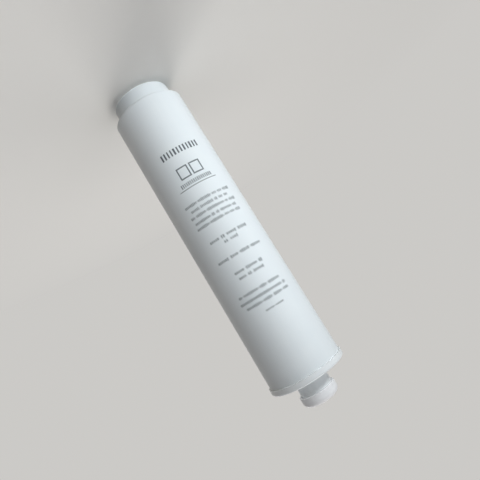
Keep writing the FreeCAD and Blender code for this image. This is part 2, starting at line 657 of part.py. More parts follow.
def make_base_end_cap():
    """Spoked cap under the roll. Feed rises through its windows."""
    body = turned_body("base_end_cap", [
        ("hub_bore", "seat_level"),
        ("end_cap_radius", "seat_level"),
        ("end_cap_radius", "base_step"),
        ("wrap_radius", "base_step"),
        ("wrap_radius", "roll_base"),
        ("hub_bore", "roll_base"),
    ])
    windows = sector_cut(body, "base_window", "base_window_angle",
                         box_outline("hub_radius", "base_mid_inner", "seat_level", "roll_base"),
                         box_outline("base_mid_outer", "base_window_radius", "seat_level", "roll_base"))
    around(body, windows, "base_spoke_count")
    return body


def make_head_end_cap():
    """Spoked cap on the roll, with a collar for the brine seal."""
    body = turned_body("head_end_cap", [
        ("hub_bore", "roll_top"),
        ("hub_radius", "roll_top"),
        ("hub_radius", "plate_ceiling"),
        ("plate_recess_radius", "plate_ceiling"),
        ("plate_recess_radius", "roll_top"),
        ("wrap_radius", "roll_top"),
        ("wrap_radius", "plate_top"),
        ("collar_radius", "plate_top"),
        *ring_groove("collar_radius", "collar_groove_radius",
                     "collar_groove_base", "collar_groove_top"),
        ("collar_radius", "collar_top"),
        ("collar_bore", "collar_top"),
        ("collar_bore", "plate_top"),
        ("hub_bore", "plate_top"),
    ])
    windows = sector_cut(body, "plate_window", "plate_window_angle",
                         box_outline("hub_radius", "plate_window_radius", "plate_ceiling", "plate_top"))
    around(body, windows, "head_spoke_count")
    spoke = rib(body, "head_spoke", "head_spoke_width",
                box_outline("hub_weld_radius", "plate_weld_radius", "roll_top", "plate_weld_level"),
                "YZ_Plane")
    around(body, spoke, "head_spoke_count")
    return body


def make_brine_seal():
    """Lip seal whose open side faces the feed below it."""
    return turned_body("brine_seal", [
        ("brine_bore", "brine_base"),
        ("brine_leg", "brine_base"),
        ("brine_leg", "brine_root_level"),
        ("brine_notch", "brine_root_level"),
        ("brine_tip", "brine_base"),
        ("brine_reach", "brine_base"),
        ("brine_back", "brine_top"),
        ("brine_bore", "brine_top"),
    ])


def make_membrane_roll():
    """All turns of membrane, spacer and carrier as one solid."""
    return turned_body("membrane_roll",
                       box_outline("roll_bore", "roll_radius", "roll_base", "roll_top"))


def make_outer_wrap():
    return turned_body("outer_wrap",
                       box_outline("wrap_bore", "wrap_radius", "roll_base", "roll_top"))


def make_base_binding_tape():
    return turned_body("base_binding_tape",
                       box_outline("tape_bore", "tape_radius", "base_step", "base_tape_top"))


def make_head_binding_tape():
    return turned_body("head_binding_tape",
                       box_outline("tape_bore", "tape_radius", "head_tape_base", "plate_top"))


pieces = [
    make_shell(),
    make_head_cap(),
    make_dust_cap(),
    o_ring("lower_neck_o_ring", "neck_ring_middle", "seal_ring_radius", "lower_neck_seal"),
    o_ring("upper_neck_o_ring", "neck_ring_middle", "seal_ring_radius", "upper_neck_seal"),
    make_flow_diverter(),
    o_ring("stem_o_ring", "stem_ring_middle", "fine_ring_radius", "stem_seal"),
    o_ring("nozzle_o_ring", "nozzle_ring_middle", "fine_ring_radius", "nozzle_seal"),
    make_core_tube(),
    o_ring("lower_tube_o_ring", "tube_ring_middle", "seal_ring_radius", "lower_tube_seal"),
    o_ring("upper_tube_o_ring", "tube_ring_middle", "seal_ring_radius", "upper_tube_seal"),
    make_tube_plug(),
    o_ring("plug_o_ring", "plug_ring_middle", "fine_ring_radius", "plug_seal"),
    make_base_end_cap(),
    make_head_end_cap(),
    make_brine_seal(),
    make_membrane_roll(),
    make_outer_wrap(),
    make_base_binding_tape(),
    make_head_binding_tape(),
]
doc.recompute()


def check(document, parts):
    """Stops before anything is written if a feature or a piece has failed."""
    for item in document.Objects:
        if "Invalid" in item.State or "Error" in item.State:
            raise RuntimeError(item.Name + " failed")
    for piece in parts:
        if piece.Shape.isNull() or not piece.Shape.isValid():
            raise RuntimeError(piece.Label + " has no valid shape")
        if len(piece.Shape.Solids) != 1:
            raise RuntimeError(piece.Label + " is not one solid")


check(doc, pieces)
os.makedirs("parts", exist_ok=True)
for piece in pieces:
    piece.Shape.exportStep(f"parts/{piece.Label}.step")
    box = piece.Shape.BoundBox
    print(f"{piece.Label}: volume {piece.Shape.Volume:.0f}, from {box.ZMin:.1f} to {box.ZMax:.1f}")
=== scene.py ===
import math
from functools import partial

import bmesh
import bpy
from mathutils import Matrix, Vector


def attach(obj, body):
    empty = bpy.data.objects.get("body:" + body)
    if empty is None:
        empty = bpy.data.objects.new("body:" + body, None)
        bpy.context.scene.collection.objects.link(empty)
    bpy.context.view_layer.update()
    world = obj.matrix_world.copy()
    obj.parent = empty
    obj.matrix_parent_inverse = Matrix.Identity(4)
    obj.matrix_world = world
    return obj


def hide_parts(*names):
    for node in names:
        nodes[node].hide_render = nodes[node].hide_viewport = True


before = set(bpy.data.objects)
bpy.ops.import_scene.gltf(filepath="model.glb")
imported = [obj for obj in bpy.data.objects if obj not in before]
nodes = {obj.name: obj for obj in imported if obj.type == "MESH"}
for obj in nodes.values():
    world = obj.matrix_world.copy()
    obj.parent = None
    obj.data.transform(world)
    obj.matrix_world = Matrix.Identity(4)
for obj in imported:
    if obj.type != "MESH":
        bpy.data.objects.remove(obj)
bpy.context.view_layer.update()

# A white membrane cartridge that stands on its stepped end, connector and dust cap up.
# Places are in metres. The print's angles run around the shell from its front, which is -Y.
SHOULDER_LEVEL = 0.015
MOUTH_LEVEL = 0.272
SHOULDER_RADIUS = 0.0318
MOUTH_RADIUS = 0.0326
SHELL_TAPER = (MOUTH_RADIUS - SHOULDER_RADIUS) / (MOUTH_LEVEL - SHOULDER_LEVEL)
JOINT_RADIUS = 0.0319
JOINT_HEIGHT = 0.0004
ROLL_BASE = 0.027
ROLL_TOP = 0.247
ROLL_RADIUS = 0.0252
CORE_RADIUS = 0.0085
GATE_FACE = 0.0008


# Building blocks for node trees
def put(tree, socket, content):
    """Sets an input, or links it when it is given another node's output."""
    if isinstance(content, bpy.types.NodeSocket):
        tree.links.new(content, socket)
    else:
        socket.default_value = content


def add(tree, kind, settings=None, inputs=None):
    """A node with its settings, and its inputs by name or number."""
    item = tree.nodes.new(kind)
    for key, content in (settings or {}).items():
        setattr(item, key, content)
    for key, content in (inputs or {}).items():
        put(tree, item.inputs[key], content)
    return item


def maths(tree, operation, first, second=0.0, third=None):
    item = add(tree, "ShaderNodeMath", {"operation": operation}, {0: first, 1: second})
    if third is not None:
        put(tree, item.inputs[2], third)
    return item.outputs[0]


def times(tree, first, second):
    return maths(tree, "MULTIPLY", first, second)


def between(tree, content, low, high, new_low=0.0, new_high=1.0):
    """Spreads low..high over new_low..new_high and holds the ends."""
    item = add(tree, "ShaderNodeMapRange", None, {0: content, 1: low, 2: high, 3: new_low, 4: new_high})
    return item.outputs[0]


def from_to(tree, share, first, second):
    """A number that goes from first to second as the share goes from 0 to 1."""
    return between(tree, share, 0.0, 1.0, first, second)


def blend_colours(tree, share, first, second):
    item = add(tree, "ShaderNodeMix", {"data_type": "RGBA"}, {0: share, 6: first, 7: second})
    return item.outputs[2]


def noise(tree, place, scale, detail=2.0, roughness=0.5):
    item = add(tree, "ShaderNodeTexNoise", None,
               {"Vector": place, "Scale": scale, "Detail": detail, "Roughness": roughness})
    return item.outputs["Fac"]


def stretched(tree, place, scale):
    item = add(tree, "ShaderNodeMapping", None, {"Vector": place, "Scale": scale})
    return item.outputs["Vector"]


def relief(tree, height, strength, distance):
    """The normal of a surface that a height makes uneven."""
    item = add(tree, "ShaderNodeBump", None, {"Strength": strength, "Distance": distance, "Height": height})
    return item.outputs["Normal"]


def parts_of(tree, place):
    """A point's X, Y and Z."""
    return add(tree, "ShaderNodeSeparateXYZ", None, {0: place}).outputs


def point_at(tree, x, y, z):
    return add(tree, "ShaderNodeCombineXYZ", None, {0: x, 1: y, 2: z}).outputs[0]


def radius_of(tree, place):
    """A point's distance from the cartridge's axis."""
    parts = parts_of(tree, place)
    across = maths(tree, "POWER", parts["X"], 2.0)
    along = maths(tree, "POWER", parts["Y"], 2.0)
    return maths(tree, "SQRT", maths(tree, "ADD", across, along))


def turn_of(tree, place):
    """A point's angle around the axis, in turns."""
    parts = parts_of(tree, place)
    return maths(tree, "DIVIDE", maths(tree, "ARCTAN2", parts["Y"], parts["X"]), math.tau)


def new_group(name, kind, inputs, outputs):
    """An empty node group with named inputs and outputs."""
    group = bpy.data.node_groups.new(name, kind)
    for label, socket_kind, content in inputs:
        socket = group.interface.new_socket(label, in_out="INPUT", socket_type=socket_kind)
        if content is not None:
            socket.default_value = content
    for label, socket_kind in outputs:
        group.interface.new_socket(label, in_out="OUTPUT", socket_type=socket_kind)
    return group, group.nodes.new("NodeGroupInput").outputs, group.nodes.new("NodeGroupOutput").inputs


# Shared surface effects. The thread phase is the angle that a tape's threads run through in one pitch.
THREAD_PHASE = 150.0


def moulding_marks_group():
    """Marks of injection moulding: slow mottle, flow lines along the part, fine skin, small rubs."""
    group, given, result = new_group(
        "moulding_marks", "ShaderNodeTree",
        [("Place", "NodeSocketVector", None), ("Skin size", "NodeSocketFloat", 1.0),
         ("Skin depth", "NodeSocketFloat", 0.3)],
        [("Mottle", "NodeSocketFloat"), ("Flow", "NodeSocketFloat"), ("Rubs", "NodeSocketFloat"),
         ("Normal", "NodeSocketVector")])
    place = given["Place"]
    clouds = noise(group, place, scale=38.0, detail=3.0)
    put(group, result["Mottle"], between(group, clouds, low=0.3, high=0.7))
    streaks = noise(group, stretched(group, place, (260.0, 260.0, 9.0)), scale=1.0, detail=3.0)
    put(group, result["Flow"], between(group, streaks, low=0.35, high=0.7))
    hairs = noise(group, stretched(group, place, (90.0, 90.0, 1600.0)), scale=1.0, detail=4.0, roughness=0.7)
    patches = noise(group, place, scale=60.0)
    scratches = between(group, hairs, low=0.62, high=0.74)
    rubs = times(group, scratches, between(group, patches, low=0.52, high=0.66))
    put(group, result["Rubs"], rubs)
    fine = noise(group, place, scale=times(group, given["Skin size"], 1400.0))
    broad = noise(group, place, scale=times(group, given["Skin size"], 240.0), detail=1.0)
    skin = maths(group, "ADD", fine, times(group, broad, 2.0))
    rubbed_skin = maths(group, "ADD", skin, times(group, rubs, -0.6))
    put(group, result["Normal"], relief(group, rubbed_skin, strength=given["Skin depth"], distance=0.00006))
    return group


def winding_marks_group():
    """Helical winding of a tape: overlap edges, filaments along the tape, slow tone."""
    group, given, result = new_group(
        "winding_marks", "ShaderNodeTree",
        [("Place", "NodeSocketVector", None), ("Pitch", "NodeSocketFloat", 0.02)],
        [("Edge", "NodeSocketFloat"), ("Filament", "NodeSocketFloat"), ("Tone", "NodeSocketFloat"),
         ("Normal", "NodeSocketVector")])
    place = given["Place"]
    level = parts_of(group, place)["Z"]
    rise = maths(group, "SUBTRACT", maths(group, "DIVIDE", level, given["Pitch"]), turn_of(group, place))
    step = maths(group, "FRACT", rise)
    put(group, result["Edge"], between(group, step, low=0.0, high=0.05, new_low=1.0, new_high=0.0))
    thread = maths(group, "SINE", times(group, rise, THREAD_PHASE))
    uneven_thread = maths(group, "ADD", thread, noise(group, place, scale=300.0))
    filament = between(group, uneven_thread, low=-0.4, high=1.6)
    put(group, result["Filament"], filament)
    put(group, result["Tone"], noise(group, place, scale=55.0, detail=3.0))
    height = maths(group, "ADD", times(group, step, -1.5), times(group, filament, 0.5))
    put(group, result["Normal"], relief(group, height, strength=0.5, distance=0.0001))
    return group


moulding_marks = moulding_marks_group()
winding_marks = winding_marks_group()

# Finishes
PLASTIC_IOR = 1.49
MOTTLE_SHARE = 0.45
FLOW_SHARE = 0.22
RUB_ROUGHNESS = 0.16
RUBBER_BLACK = (0.022, 0.022, 0.024, 1)
RUBBER_BLOOM = (0.06, 0.06, 0.064, 1)
LEAF_COLOUR = (0.82, 0.8, 0.73, 1)
LEAF_SHADE = (0.74, 0.72, 0.64, 1)
GLUE_COLOUR = (0.66, 0.6, 0.45, 1)
GLUE_BAND = 0.022
# Painted shade: the dark grey of the net's openings stands for the shade seen through them.
NET_GAP_SHADE = (0.34, 0.35, 0.35, 1)
NET_STRAND = (0.86, 0.87, 0.86, 1)
NET_PITCH = 0.0028
FILAMENT_SHARE = 0.35
TAPE_EDGE_SHARE = 0.6


def new_material(name):
    """A material with its tree, its shader and the piece's own coordinates."""
    material = bpy.data.materials.new(name)
    material.use_nodes = True
    tree = material.node_tree
    shader = tree.nodes["Principled BSDF"]
    place = add(tree, "ShaderNodeTexCoord").outputs["Object"]
    return material, tree, shader, place


def marks_in(tree, group, values):
    item = tree.nodes.new("ShaderNodeGroup")
    item.node_tree = group
    for key, content in values.items():
        put(tree, item.inputs[key], content)
    return item.outputs


def set_finish(tree, shader, colour, roughness, normal):
    put(tree, shader.inputs["Base Color"], colour)
    put(tree, shader.inputs["Roughness"], roughness)
    put(tree, shader.inputs["Normal"], normal)


def moulded_plastic(name, colour, shade, gloss, skin_size, skin_depth):
    """Injection-moulded plastic: a colour that drifts to its shade, and gloss between two roughnesses."""
    material, tree, shader, place = new_material(name)
    marks = marks_in(tree, moulding_marks, {"Place": place, "Skin size": skin_size, "Skin depth": skin_depth})
    drift = blend_colours(tree, times(tree, marks["Mottle"], MOTTLE_SHARE), colour, shade)
    flowed = blend_colours(tree, times(tree, marks["Flow"], FLOW_SHARE), drift, shade)
    smooth = from_to(tree, marks["Mottle"], *gloss)
    rubbed = maths(tree, "ADD", smooth, times(tree, marks["Rubs"], RUB_ROUGHNESS))
    set_finish(tree, shader, flowed, rubbed, marks["Normal"])
    shader.inputs["IOR"].default_value = PLASTIC_IOR
    return material


def seal_rubber_material():
    """Black rubber with a greasy bloom."""
    material, tree, shader, place = new_material("seal_rubber")
    bloom = between(tree, noise(tree, place, scale=420.0, detail=4.0, roughness=0.6), low=0.42, high=0.72)
    colour = blend_colours(tree, bloom, RUBBER_BLACK, RUBBER_BLOOM)
    grain = relief(tree, noise(tree, place, scale=2600.0), strength=0.4, distance=0.00004)
    set_finish(tree, shader, colour, from_to(tree, bloom, 0.3, 0.62), grain)
    return material


def wrap_tape_material(name, colour, edge_colour, pitch):
    """Glued tape wound on the roll, with filaments and overlapping edges."""
    material, tree, shader, place = new_material(name)
    marks = marks_in(tree, winding_marks, {"Place": place, "Pitch": pitch})
    threads = blend_colours(tree, times(tree, marks["Filament"], FILAMENT_SHARE), colour, edge_colour)
    edged = blend_colours(tree, times(tree, marks["Edge"], TAPE_EDGE_SHARE), threads, edge_colour)
    roughness = between(tree, marks["Tone"], low=0.3, high=0.7, new_low=0.22, new_high=0.42)
    set_finish(tree, shader, edged, roughness, marks["Normal"])
    return material


def membrane_leaf_material():
    """Polymer sheet: a faint cast web on its faces and a cut, glued edge at the roll's ends."""
    material, tree, shader, place = new_material("membrane_leaf")
    level = parts_of(tree, place)["Z"]
    low_end = between(tree, level, ROLL_BASE, ROLL_BASE + GLUE_BAND, new_low=1.0, new_high=0.0)
    high_end = between(tree, level, ROLL_TOP - GLUE_BAND, ROLL_TOP)
    blotches = between(tree, noise(tree, place, scale=90.0, detail=3.0), low=0.4, high=0.6)
    glue = times(tree, maths(tree, "MAXIMUM", low_end, high_end), blotches)
    web = noise(tree, place, scale=1500.0, detail=3.0, roughness=0.6)
    sheet = blend_colours(tree, web, LEAF_COLOUR, LEAF_SHADE)
    glued = blend_colours(tree, glue, sheet, GLUE_COLOUR)
    felt = relief(tree, web, strength=0.3, distance=0.00005)
    set_finish(tree, shader, glued, from_to(tree, glue, 0.55, 0.3), felt)
    return material


def feed_spacer_material():
    """Extruded diamond net between the leaves, with strands that rise and strands that fall, and its openings
    painted dark as shade.
    """
    material, tree, shader, place = new_material("feed_spacer")
    around = times(tree, times(tree, turn_of(tree, place), radius_of(tree, place)), math.tau)
    level = parts_of(tree, place)["Z"]
    strands = []
    for lean in ("ADD", "SUBTRACT"):
        phase = maths(tree, "DIVIDE", maths(tree, lean, around, level), NET_PITCH / math.tau)
        strands.append(maths(tree, "SINE", phase))
    net = between(tree, maths(tree, "MAXIMUM", *strands), low=0.45, high=0.8)
    # The openings between the strands get painted shade, not a colour of the net.
    colour = blend_colours(tree, net, NET_GAP_SHADE, NET_STRAND)
    raised = relief(tree, net, strength=0.8, distance=0.0003)
    set_finish(tree, shader, colour, from_to(tree, net, 0.6, 0.34), raised)
    return material


def print_ink(name, colour, thin_colour):
    """Screen-printed ink: flat film, a little thin in places."""
    material, tree, shader, place = new_material(name)
    thin = between(tree, noise(tree, place, scale=700.0, detail=4.0, roughness=0.65), low=0.45, high=0.75)
    inked = blend_colours(tree, thin, colour, thin_colour)
    film = relief(tree, thin, strength=0.2, distance=0.00003)
    set_finish(tree, shader, inked, from_to(tree, thin, 0.34, 0.5), film)
    return material


shell_plastic = moulded_plastic("shell_plastic", (0.84, 0.885, 0.905, 1), (0.78, 0.835, 0.87, 1),
                                gloss=(0.34, 0.46), skin_size=1.0, skin_depth=0.3)
head_plastic = moulded_plastic("head_plastic", (0.87, 0.9, 0.912, 1), (0.8, 0.84, 0.862, 1),
                               gloss=(0.32, 0.44), skin_size=1.3, skin_depth=0.35)
cap_plastic = moulded_plastic("cap_plastic", (0.87, 0.87, 0.88, 1), (0.81, 0.81, 0.83, 1),
                              gloss=(0.42, 0.55), skin_size=1.7, skin_depth=0.4)
insert_plastic = moulded_plastic("insert_plastic", (0.8, 0.81, 0.8, 1), (0.7, 0.71, 0.7, 1),
                                 gloss=(0.4, 0.56), skin_size=1.4, skin_depth=0.5)
core_plastic = moulded_plastic("core_plastic", (0.72, 0.74, 0.75, 1), (0.62, 0.64, 0.65, 1),
                               gloss=(0.38, 0.5), skin_size=0.8, skin_depth=0.4)
seal_rubber = seal_rubber_material()
membrane_leaf = membrane_leaf_material()
feed_spacer = feed_spacer_material()
roll_wrap = wrap_tape_material("roll_wrap", (0.74, 0.78, 0.83, 1), (0.56, 0.62, 0.7, 1), pitch=0.025)
binding_tape = wrap_tape_material("binding_tape", (0.7, 0.75, 0.82, 1), (0.5, 0.56, 0.66, 1), pitch=0.0008)
dark_ink = print_ink("dark_ink", (0.115, 0.13, 0.15, 1), (0.19, 0.205, 0.225, 1))
grey_ink = print_ink("grey_ink", (0.16, 0.185, 0.2, 1), (0.26, 0.285, 0.3, 1))

FINISHES = {
    "shell": shell_plastic,
    "head_cap": head_plastic,
    "dust_cap": cap_plastic,
    "flow_diverter": insert_plastic,
    "base_end_cap": insert_plastic,
    "head_end_cap": insert_plastic,
    "tube_plug": insert_plastic,
    "core_tube": core_plastic,
    "brine_seal": seal_rubber,
    "lower_neck_o_ring": seal_rubber,
    "upper_neck_o_ring": seal_rubber,
    "stem_o_ring": seal_rubber,
    "nozzle_o_ring": seal_rubber,
    "lower_tube_o_ring": seal_rubber,
    "upper_tube_o_ring": seal_rubber,
    "plug_o_ring": seal_rubber,
    "outer_wrap": roll_wrap,
    "base_binding_tape": binding_tape,
    "head_binding_tape": binding_tape,
}


def dress(node, material):
    """Gives a solid of the model its finish."""
    slots = node.data.materials
    if not slots:
        slots.append(material)
    for number in range(len(slots)):
        slots[number] = material


for name, finish in FINISHES.items():
    dress(nodes[name], finish)


# Pieces that follow a rule, each from a tree with named sizes
def new_tree(name, inputs):
    tree, given, result = new_group(name, "GeometryNodeTree", inputs, [("Piece", "NodeSocketGeometry")])
    return tree, given, result["Piece"]


def made_by(tree, name, values):
    """The plain mesh that a tree makes with these values."""
    carrier = bpy.data.objects.new(name, bpy.data.meshes.new(name))
    bpy.context.scene.collection.objects.link(carrier)
    modifier = carrier.modifiers.new("made", "NODES")
    modifier.node_group = tree
    sockets = {item.name: item.identifier for item in tree.interface.items_tree
               if item.in_out == "INPUT"}
    for label, content in values.items():
        modifier[sockets[label]] = content
    evaluated = carrier.evaluated_get(bpy.context.evaluated_depsgraph_get())
    mesh = bpy.data.meshes.new_from_object(evaluated)
    carrier.modifiers.clear()
    carrier.data = mesh
    mesh.name = name
    return carrier


# The printed rows. Some bars are taller than the others, and no two bars are quite as wide.
INK_FILM = 0.00008
TALL_GROWTH = 1.38
TALL_SEED = 3
WIDTH_SPREAD = (0.8, 1.15)
WIDTH_SEED = 7
BAR_STEPS = 3
RULE_STEPS = 40


def at_index(tree, seed, low, high):
    """A random number for each bar."""
    item = add(tree, "FunctionNodeRandomValue", {"data_type": "FLOAT"}, {2: low, 3: high, "Seed": seed})
    return item.outputs[1]


def is_below(tree, first, second):
    item = add(tree, "FunctionNodeCompare", {"data_type": "FLOAT", "operation": "LESS_THAN"},
               {0: first, 1: second})
    return item.outputs[0]


def bars_in_line(tree, given):
    """The row on a flat strip: X around the shell, Y up, Z out, with gaps as between words."""
    index = add(tree, "GeometryNodeInputIndex").outputs[0]
    span = maths(tree, "SUBTRACT", given["Last angle"], given["First angle"])
    pitch = maths(tree, "DIVIDE", span, given["Bars"])
    middle = maths(tree, "ADD", given["First angle"], times(tree, maths(tree, "ADD", index, 0.5), pitch))
    place = point_at(tree, times(tree, middle, SHOULDER_RADIUS), given["Level"], 0.0)
    spots = add(tree, "GeometryNodePoints", None, {"Count": given["Bars"], "Position": place})
    blank = is_below(tree, at_index(tree, given["Seed"], 0.0, 1.0), given["Gap share"])
    words = add(tree, "GeometryNodeDeleteGeometry", {"domain": "POINT"},
                {"Geometry": spots.outputs[0], "Selection": blank})
    share_of_pitch = times(tree, given["Width"], at_index(tree, WIDTH_SEED, *WIDTH_SPREAD))
    width = times(tree, times(tree, pitch, SHOULDER_RADIUS), share_of_pitch)
    tall = is_below(tree, at_index(tree, TALL_SEED, 0.0, 1.0), given["Tall share"])
    growth = add(tree, "GeometryNodeSwitch", {"input_type": "FLOAT"},
                 {"Switch": tall, "False": 1.0, "True": TALL_GROWTH})
    height = times(tree, given["Height"], growth.outputs[0])
    bar = add(tree, "GeometryNodeMeshCube", None, {"Size": (1.0, 1.0, 1.0), "Vertices X": given["Steps"]})
    row = add(tree, "GeometryNodeInstanceOnPoints", None, {
        "Points": words.outputs[0], "Instance": bar.outputs[0],
        "Scale": point_at(tree, width, height, given["Film"])})
    return add(tree, "GeometryNodeRealizeInstances", None, {0: row.outputs[0]}).outputs[0]


def bent_round_shell(tree, flat):
    """Bends the flat strip round the tapered shell, which turns its faces over once."""
    parts = parts_of(tree, add(tree, "GeometryNodeInputPosition").outputs[0])
    angle = maths(tree, "DIVIDE", parts["X"], SHOULDER_RADIUS)
    above_shoulder = maths(tree, "SUBTRACT", parts["Y"], SHOULDER_LEVEL)
    wall = maths(tree, "MULTIPLY_ADD", above_shoulder, SHELL_TAPER, SHOULDER_RADIUS)
    back = times(tree, maths(tree, "ADD", wall, parts["Z"]), -1.0)
    on_wall = point_at(tree, times(tree, back, maths(tree, "SINE", angle)),
                       times(tree, back, maths(tree, "COSINE", angle)), parts["Y"])
    bent = add(tree, "GeometryNodeSetPosition", None, {"Geometry": flat, "Position": on_wall})
    return add(tree, "GeometryNodeFlipFaces", None, {"Mesh": bent.outputs[0]}).outputs[0]


def printed_row_tree():
    """A row of ink bars on the shell."""
    tree, given, piece = new_tree("printed_row", [
        ("Bars", "NodeSocketInt", 30),
        ("First angle", "NodeSocketFloat", -0.4),
        ("Last angle", "NodeSocketFloat", 0.8),
        ("Level", "NodeSocketFloat", 0.1),
        ("Height", "NodeSocketFloat", 0.002),
        ("Tall share", "NodeSocketFloat", 0.3),
        ("Width", "NodeSocketFloat", 0.7),
        ("Gap share", "NodeSocketFloat", 0.15),
        ("Film", "NodeSocketFloat", INK_FILM),
        ("Steps", "NodeSocketInt", BAR_STEPS),
        ("Seed", "NodeSocketInt", 1),
        ("Ink", "NodeSocketMaterial", None),
    ])
    row = bent_round_shell(tree, bars_in_line(tree, given))
    inked = add(tree, "GeometryNodeSetMaterial", None, {"Geometry": row, "Material": given["Ink"]})
    put(tree, piece, inked.outputs[0])
    return tree


# Each row: bars, first and last angle in degrees, level and height in millimetres, share of tall bars,
# a bar's width in its pitch, share of gaps, seed, ink. One long bar makes the rule.
PRINTED_ROWS = {
    "title_field": (12, -19.5, 43.5, 69.2, 5.6, 0.0, 0.47, 0.0, 1, dark_ink),
    "subtitle_row": (17, -15.0, 35.8, 98.0, 3.3, 0.0, 0.48, 0.0, 1, grey_ink),
    "text_row_01": (33, -27.0, 49.0, 114.3, 2.0, 0.34, 0.52, 0.13, 62, grey_ink),
    "text_row_02": (27, -21.0, 41.0, 119.3, 2.0, 0.34, 0.5, 0.13, 78, grey_ink),
    "text_row_03": (33, -27.0, 49.5, 124.2, 2.0, 0.34, 0.54, 0.13, 37, grey_ink),
    "text_row_04": (30, -25.0, 45.5, 129.4, 2.0, 0.34, 0.54, 0.13, 2, grey_ink),
    "text_row_05": (32, -27.0, 47.5, 134.1, 2.0, 0.34, 0.54, 0.13, 62, grey_ink),
    "text_row_06": (20, -21.0, 40.5, 148.5, 2.1, 0.34, 0.54, 0.1, 35, grey_ink),
    "text_row_07": (7, -2.0, 20.7, 153.2, 2.1, 0.34, 0.5, 0.1, 28, grey_ink),
    "text_row_08": (24, -26.5, 46.0, 165.9, 2.1, 0.34, 0.54, 0.14, 20, grey_ink),
    "text_row_09": (15, -13.0, 32.5, 179.0, 2.1, 0.34, 0.56, 0.1, 26, grey_ink),
    "text_row_10": (14, -11.0, 29.5, 184.1, 2.1, 0.34, 0.54, 0.14, 25, grey_ink),
    "text_row_11": (24, -27.0, 41.5, 197.3, 2.1, 0.34, 0.54, 0.14, 39, grey_ink),
    "text_row_12": (28, -30.0, 47.0, 202.7, 2.1, 0.34, 0.54, 0.1, 23, grey_ink),
    "text_row_13": (26, -24.5, 47.0, 207.5, 2.1, 0.34, 0.54, 0.1, 8, grey_ink),
    "text_row_14": (11, -2.0, 27.0, 215.1, 1.6, 0.2, 0.5, 0.2, 19, grey_ink),
    "rule_line": (1, -18.5, 39.0, 101.4, 0.55, 0.0, 1.0, 0.0, 5, grey_ink),
}


def make_printed_rows():
    """The printed rows and the rule, each a piece of its own."""
    printed_row = printed_row_tree()
    rows = []
    for name, row in PRINTED_ROWS.items():
        bars, first, last, level, height, tall, width, gaps, seed, ink = row
        rows.append(made_by(printed_row, name, {
            "Bars": bars, "First angle": math.radians(first), "Last angle": math.radians(last),
            "Level": level / 1000, "Height": height / 1000, "Tall share": tall, "Width": width,
            "Gap share": gaps, "Steps": RULE_STEPS if bars == 1 else BAR_STEPS, "Seed": seed, "Ink": ink}))
    return rows


# Pieces made ring by ring
def solid_from(name, points, faces, material):
    mesh = bpy.data.meshes.new(name)
    mesh.from_pydata(points, [], faces)
    mesh.materials.append(material)
    piece = bpy.data.objects.new(name, mesh)
    bpy.context.scene.collection.objects.link(piece)
    return piece


def outward(piece):
    """Turns a closed piece's faces outwards."""
    work = bmesh.new()
    work.from_mesh(piece.data)
    bmesh.ops.recalc_face_normals(work, faces=work.faces)
    work.to_mesh(piece.data)
    work.free()


def ring_solid(name, rings, joined, material, lids=()):
    """A closed piece from rings of points: a band of faces for each joined pair, and a face on each lid."""
    count = len(rings[0])
    points = [point for ring in rings for point in ring]
    faces = []
    for near, far in joined:
        for number in range(count):
            after = (number + 1) % count
            faces.append((near * count + number, near * count + after,
                          far * count + after, far * count + number))
    for ring in lids:
        faces.append(tuple(range(ring * count, (ring + 1) * count)))
    piece = solid_from(name, points, faces, material)
    outward(piece)
    return piece


def round_ring(steps, level, radius_at):
    """Points once around the axis, as far from it as radius_at says for each angle."""
    ring = []
    for number in range(steps):
        angle = math.tau * number / steps
        radius = radius_at(angle)
        ring.append((radius * math.cos(angle), radius * math.sin(angle), level))
    return ring


# Two outlined fields beside each other: first and last angle in degrees, and their levels and stroke.
# The heading radius turns the stroke's width into an angle.
HEADING_FIELDS = {"left": (-8.5, 9.0), "right": (12.0, 29.0)}
HEADING_BASE = 0.0829
HEADING_TOP = 0.0934
HEADING_STROKE = 0.0011
HEADING_FILM = 0.00004
HEADING_RADIUS = 0.0322088
SIDE_STEPS = 8


def on_shell(angle, level, lift):
    """A point over the shell's wall."""
    radius = SHOULDER_RADIUS + (level - SHOULDER_LEVEL) * SHELL_TAPER + lift
    return Vector((-radius * math.sin(angle), -radius * math.cos(angle), level))


def frame_path(first, last, base, top):
    """Angles and levels along a field's edge, once around."""
    corners = ((first, base), (last, base), (last, top), (first, top))
    path = []
    for number, (angle, level) in enumerate(corners):
        next_angle, next_level = corners[(number + 1) % len(corners)]
        for step in range(SIDE_STEPS):
            path.append((angle + (next_angle - angle) * step / SIDE_STEPS,
                         level + (next_level - level) * step / SIDE_STEPS))
    return path


def make_heading_frame(name, first, last):
    """A plain outlined field on the shell, in a stroke of ink."""
    turn = HEADING_STROKE / HEADING_RADIUS
    outer = frame_path(first, last, HEADING_BASE, HEADING_TOP)
    inner = frame_path(first + turn, last - turn, HEADING_BASE + HEADING_STROKE, HEADING_TOP - HEADING_STROKE)
    rings = []
    for lift in (HEADING_FILM, -HEADING_FILM):
        for path in (outer, inner):
            rings.append([on_shell(angle, level, lift) for angle, level in path])
    return ring_solid(name, rings, ((0, 1), (1, 3), (3, 2), (2, 0)), grey_ink)


# The weld bead bows out of the joint. Its waves: height, number around, start.
BEAD_STEPS = 180
BEAD_PLAY = 0.00002
BEAD_ROOT = 0.0001
BEAD_SWELL = 0.00056
BEAD_WAVES = ((0.00005, 5, 0.7), (0.00003, 17, 2.0))


def bead_radius(bow, angle):
    """The bead's radius at an angle. Its root has no bow and lies in the joint's wall."""
    if bow is None:
        return JOINT_RADIUS - BEAD_ROOT
    swell = sum((height * math.sin(waves * angle + start) for height, waves, start in BEAD_WAVES), BEAD_SWELL)
    return JOINT_RADIUS + swell * bow


